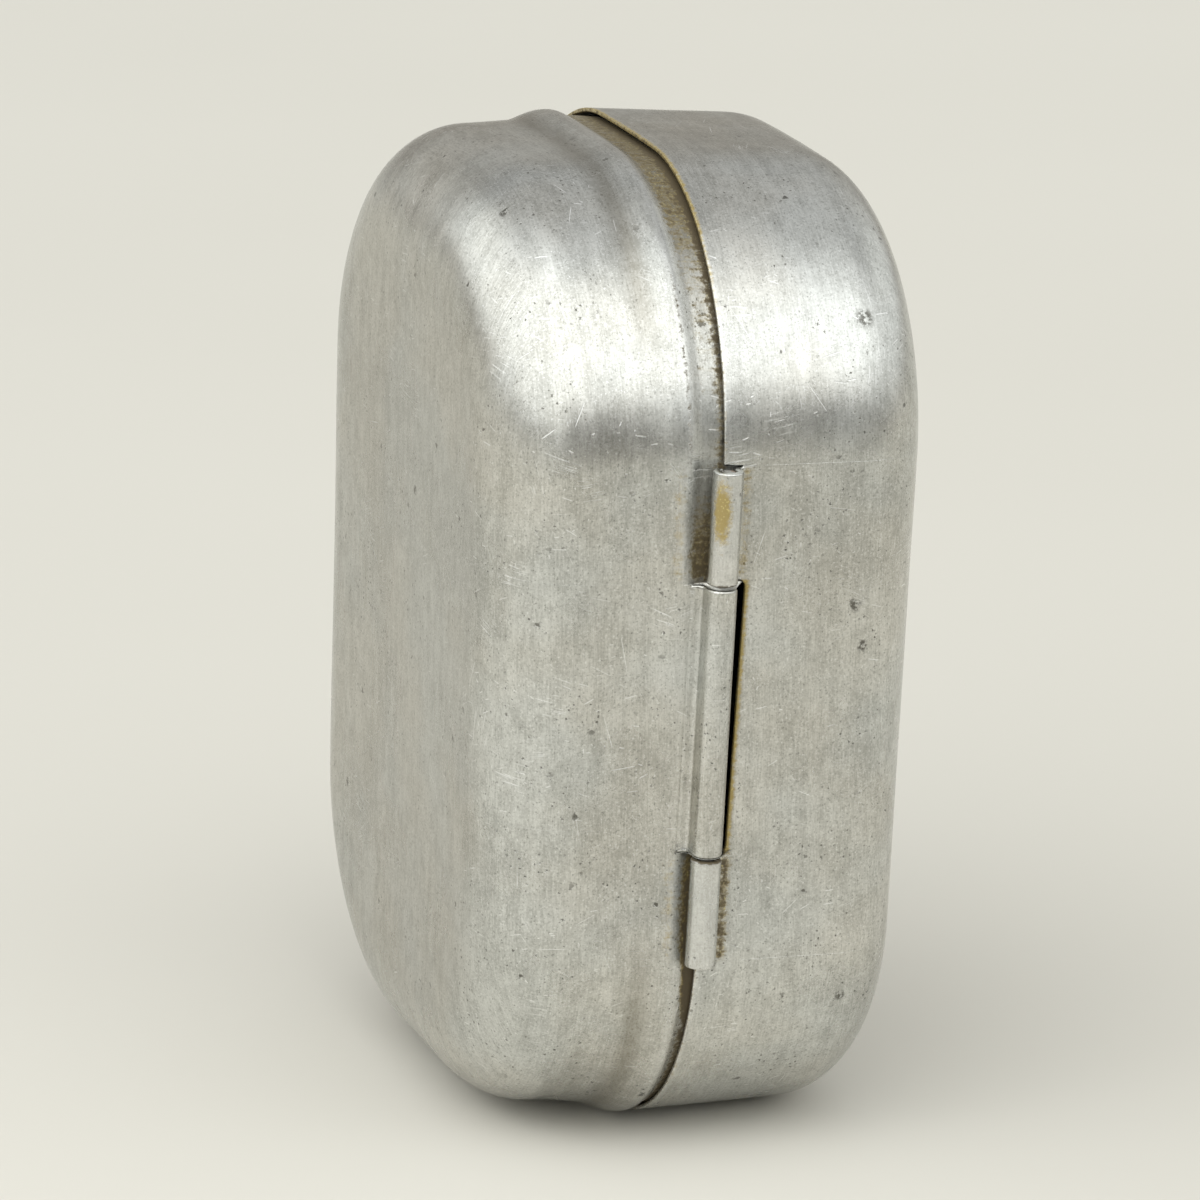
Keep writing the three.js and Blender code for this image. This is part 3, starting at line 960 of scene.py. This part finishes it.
def worn_aluminium(name):
    made, graph = new_material(name)
    solid = graph.solid()
    flat = flat_place(graph, solid)

    # Tones: cloudy tarnish, blotches, fine mottling, a drawn grain and broad drawn streaks
    cloud = graph.noise(solid, 0.075, 3.0)
    blotch = graph.noise(solid, 0.5, 4.0, 0.65)
    mottle = graph.noise(solid, 3.2, 3.0, 0.7)
    grain = graph.noise(stretched(graph, flat, 6.0, 0.45), 1.0, 3.0)
    streaks = graph.noise(stretched(graph, flat, 0.9, 0.08), 1.0, 3.0)
    tone = graph.weighted(
        (cloud, 0.2), (blotch, 0.2), (mottle, 0.25), (grain, 0.2), (streaks, 0.15),
    )
    cool = graph.ramp(graph.noise(solid, 0.06, 2.0), 0.35, 0.65)
    dark = graph.tint(cool, *DARK_TONES)
    pale = graph.tint(cool, *PALE_TONES)
    colour = graph.tint(graph.ramp(tone, 0.38, 0.62), dark, pale)
    sparkle = graph.noise(solid, 5.0, 2.0)
    colour = graph.tint(graph.ramp(sparkle, 0.58, 0.74, 0.0, 0.6), colour, SPARKLE_COLOUR)
    colour = graph.tint(graph.ramp(sparkle, 0.42, 0.26, 0.0, 0.7), colour, SHADE_COLOUR)

    # Scratches, scuffs and clustered pits, and lightening where worn that is partly a painted
    # highlight
    scuffed = graph.ramp(graph.noise(solid, 0.11, 2.0), 0.4, 0.62, 0.15, 1.0)
    lines = graph.total(
        *[scratches(graph, flat, *kind) for kind in SCRATCHES],
        *[scuffs(graph, flat, *kind) for kind in SCUFFS],
    )
    lines = graph.math("MINIMUM", graph.product(lines, scuffed), 1.0)
    pocked = graph.ramp(graph.noise(solid, 0.2, 3.0), 0.45, 0.65, 0.15, 1.0)
    fine, coarse = (graph.product(specks(graph, flat, *kind), pocked) for kind in PITS)
    pits = graph.math("MAXIMUM", fine, coarse)
    ragged = graph.ramp(graph.noise(solid, 2.2, 4.0, 0.7), 0.42, 0.56)
    for centre, size in BLOTS:
        away = graph.math("DIVIDE", graph.measure("DISTANCE", solid, centre), size)
        blot = graph.product(graph.ramp(away, 1.0, 0.4), ragged)
        pits = graph.math("MAXIMUM", pits, blot)
    # Painted highlight and wear: lightened barrels, rim edge and bead crest
    worn_and_sheen = graph.scaled(graph.mark("wear"), 0.5)
    bright = graph.math("MAXIMUM", graph.scaled(lines, 0.7), worn_and_sheen)
    colour = graph.tint(bright, colour, SCRATCH_AND_SHEEN_COLOUR)
    colour = graph.tint(graph.scaled(pits, 0.85), colour, PIT_COLOUR)

    # Dirt in the seam and hinge with painted shade: a darker warm film that paints shade in the
    # bead's valley, on the face and in the groove, ochre stains streaked across the seam, pale
    # flecks and dark grime, broken up
    patch = graph.noise(solid, 1.9, 4.0, 0.7)
    streak = graph.noise(stretched(graph, solid, 0.25, 2.2, 2.2), 1.0, 3.0)
    uneven = graph.weighted((patch, 0.5), (streak, 0.5))
    broken = graph.weighted((patch, 0.75), (streak, 0.25))
    grime = graph.mark("grime")
    dirty = graph.ramp(graph.math("MULTIPLY_ADD", broken, 2.6, grime), 1.5, 2.1)
    dirty = graph.product(dirty, graph.ramp(grime, 0.03, 0.25))
    stain = graph.mark("stain")
    tinted = graph.ramp(graph.math("MULTIPLY_ADD", uneven, 1.8, stain), 1.1, 1.7, 0.0, 0.9)
    tinted = graph.product(tinted, graph.ramp(stain, 0.02, 0.3))
    # A darker warm film: painted shade in the base's bead valley, on its face and down its
    # shoulder, and darker round the lid's bends
    tarnish = graph.scaled(graph.mark("tarnish"), 0.6)
    colour = graph.tint(tarnish, colour, TARNISH_AND_SHADE_COLOUR)
    colour = graph.tint(tinted, colour, STAIN_COLOUR)
    fleck = graph.ramp(graph.noise(solid, 4.0, 2.0), 0.57, 0.66)
    fleck = graph.product(fleck, graph.ramp(stain, 0.2, 0.6), 0.7)
    colour = graph.tint(fleck, colour, FLECK_COLOUR)
    colour = graph.tint(dirty, colour, GRIME_COLOUR)
    covered = graph.math("MAXIMUM", graph.scaled(dirty, 0.9), graph.scaled(tinted, 0.6))
    metal = graph.math("SUBTRACT", 1.0, covered)

    # Finish
    rough = graph.math("MULTIPLY_ADD", graph.ramp(cloud, 0.35, 0.65), 0.08, 0.24)
    rough = graph.total(
        rough,
        graph.scaled(lines, 0.15),
        graph.scaled(dirty, 0.35),
        graph.scaled(graph.mark("dull"), 0.38),
    )
    height = graph.weighted(
        (grain, 0.2), (mottle, 0.12), (lines, -0.4), (pits, -1.0), (dirty, 0.6),
    )
    graph.surface(colour, rough, Metallic=metal, Normal=graph.bump(height, 0.5, 0.04))
    return made


def dull_steel(name):
    made, graph = new_material(name)
    solid = graph.solid()
    drawn = graph.noise(stretched(graph, solid, 6.0, 6.0, 1.0), 0.6, 3.0)
    rust = graph.ramp(graph.noise(solid, 0.9, 4.0), 0.5, 0.7)
    colour = graph.tint(drawn, *STEEL_TONES)
    colour = graph.tint(rust, colour, RUST_COLOUR)
    metal = graph.math("SUBTRACT", 1.0, graph.scaled(rust, 0.8))
    rough = graph.math("MULTIPLY_ADD", drawn, 0.25, 0.3)
    graph.surface(colour, rough, Metallic=metal, Normal=graph.bump(drawn, 0.4, 0.03))
    return made


def pale_floor(name):
    """A warm pale floor with faint cloudy tones."""
    made, graph = new_material(name)
    metres = graph.node("ShaderNodeTexCoord").outputs["Object"]
    cloud = graph.noise(metres, 6.0, 2.0)
    colour = graph.tint(cloud, *FLOOR_TONES)
    graph.surface(colour, 0.9)
    return made


# Stage, light and camera

def make_floor():
    half = 2.5
    mesh = bpy.data.meshes.new("floor")
    corners = [(-half, -half, 0), (half, -half, 0), (half, half, 0), (-half, half, 0)]
    mesh.from_pydata(corners, [], [(0, 1, 2, 3)])
    mesh.materials.append(pale_floor("pale_floor"))
    floor = bpy.data.objects.new("floor", mesh)
    bpy.context.scene.collection.objects.link(floor)


def soft_box(name, target, toward, distance, size, power):
    """A square soft light that faces a place from a direction, and stays out of reflections."""
    lamp = bpy.data.lights.new(name, "AREA")
    lamp.shape = "SQUARE"
    lamp.size = size
    lamp.energy = power
    made = bpy.data.objects.new(name, lamp)
    made.visible_glossy = False
    bpy.context.scene.collection.objects.link(made)
    direction = Vector(toward).normalized()
    made.location = Vector(target) + direction * distance
    made.rotation_euler = direction.to_track_quat("Z", "Y").to_euler()


def make_world():
    """A room with a broad soft window in front, dimmer ones at both sides and a dark horizon."""
    world = bpy.data.worlds.new("studio")
    bpy.context.scene.world = world
    world.use_nodes = True
    graph = Graph(world.node_tree)
    toward = graph.node("ShaderNodeTexCoord").outputs["Generated"]
    x, _, z = graph.parts(toward)
    ahead = graph.measure("DOT_PRODUCT", toward, WINDOW_TOWARD)
    window = graph.product(graph.ramp(ahead, -0.25, 0.5), graph.ramp(z, 0.14, 0.48))
    to_side = graph.math("MAXIMUM", graph.ramp(x, 0.55, 0.95), graph.ramp(x, -0.25, -0.65))
    side_windows = graph.product(to_side, graph.ramp(z, 0.0, 0.2), graph.ramp(z, 0.9, 0.5))
    in_front = graph.ramp(ahead, -0.3, 0.5)
    horizon = graph.tint(in_front, *HORIZON_TONES)
    room = graph.tint(graph.ramp(z, 0.2, 0.75), horizon, CEILING_COLOUR)
    side_colour = graph.tint(graph.ramp(x, 0.1, -0.1), *SIDE_TONES)
    room = graph.tint(side_windows, room, side_colour)
    colour = graph.tint(window, room, WINDOW_COLOUR)
    light = graph.node("ShaderNodeBackground", {"Color": colour})
    graph.node("ShaderNodeOutputWorld", {"Surface": light.outputs[0]})


def make_camera():
    azimuth, elevation, roll = (math.radians(v) for v in (VIEW_AZIMUTH, VIEW_ELEVATION, VIEW_ROLL))
    back = Vector((
        math.sin(azimuth) * math.cos(elevation),
        -math.cos(azimuth) * math.cos(elevation),
        math.sin(elevation),
    ))
    right = Vector((math.cos(azimuth), math.sin(azimuth), 0))
    up = back.cross(right)
    target = Vector((0, 0, VIEW_HEIGHT)) + right * VIEW_SIDEWAYS
    rolled_right = right * math.cos(roll) + up * math.sin(roll)
    rolled_up = up * math.cos(roll) - right * math.sin(roll)
    lens = bpy.data.cameras.new("camera")
    lens.sensor_width = SENSOR
    lens.sensor_fit = "HORIZONTAL"
    lens.lens = SENSOR * FOCAL_PIXELS / IMAGE_SIZE
    lens.clip_start = 0.01
    camera = bpy.data.objects.new("camera", lens)
    turn = Matrix((rolled_right, rolled_up, back)).transposed().to_4x4()
    camera.matrix_world = Matrix.Translation((target + back * VIEW_DISTANCE) * MM) @ turn
    bpy.context.scene.collection.objects.link(camera)
    bpy.context.scene.camera = camera


# The scene

make_camera()
make_floor()
make_world()
soft_box(
    "overhead", target=(0, 0, 0.05), toward=(-0.35, -0.55, 1), distance=0.85, size=0.6, power=1.0,
)
soft_box(
    "left", target=(-0.17, -0.06, 0), toward=(-0.2, -0.1, 1), distance=0.19, size=0.12, power=0.1,
)

tin_place = Place(frame["joints"][0])
aluminium = worn_aluminium("worn_aluminium")
steel = dull_steel("dull_steel")
for piece, body, node, slot, material in (
    (make_base(tin_place), "base", "base_shell", "shell_aluminium", aluminium),
    (make_lid(tin_place), "lid", "lid_shell", "shell_aluminium", aluminium),
    (make_pin(tin_place), "lid", "hinge_pin", "pin_steel", steel),
):
    piece.data.materials.append(material)
    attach(piece, body)
    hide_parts(node)

bpy.context.scene.view_settings.view_transform = "Standard"
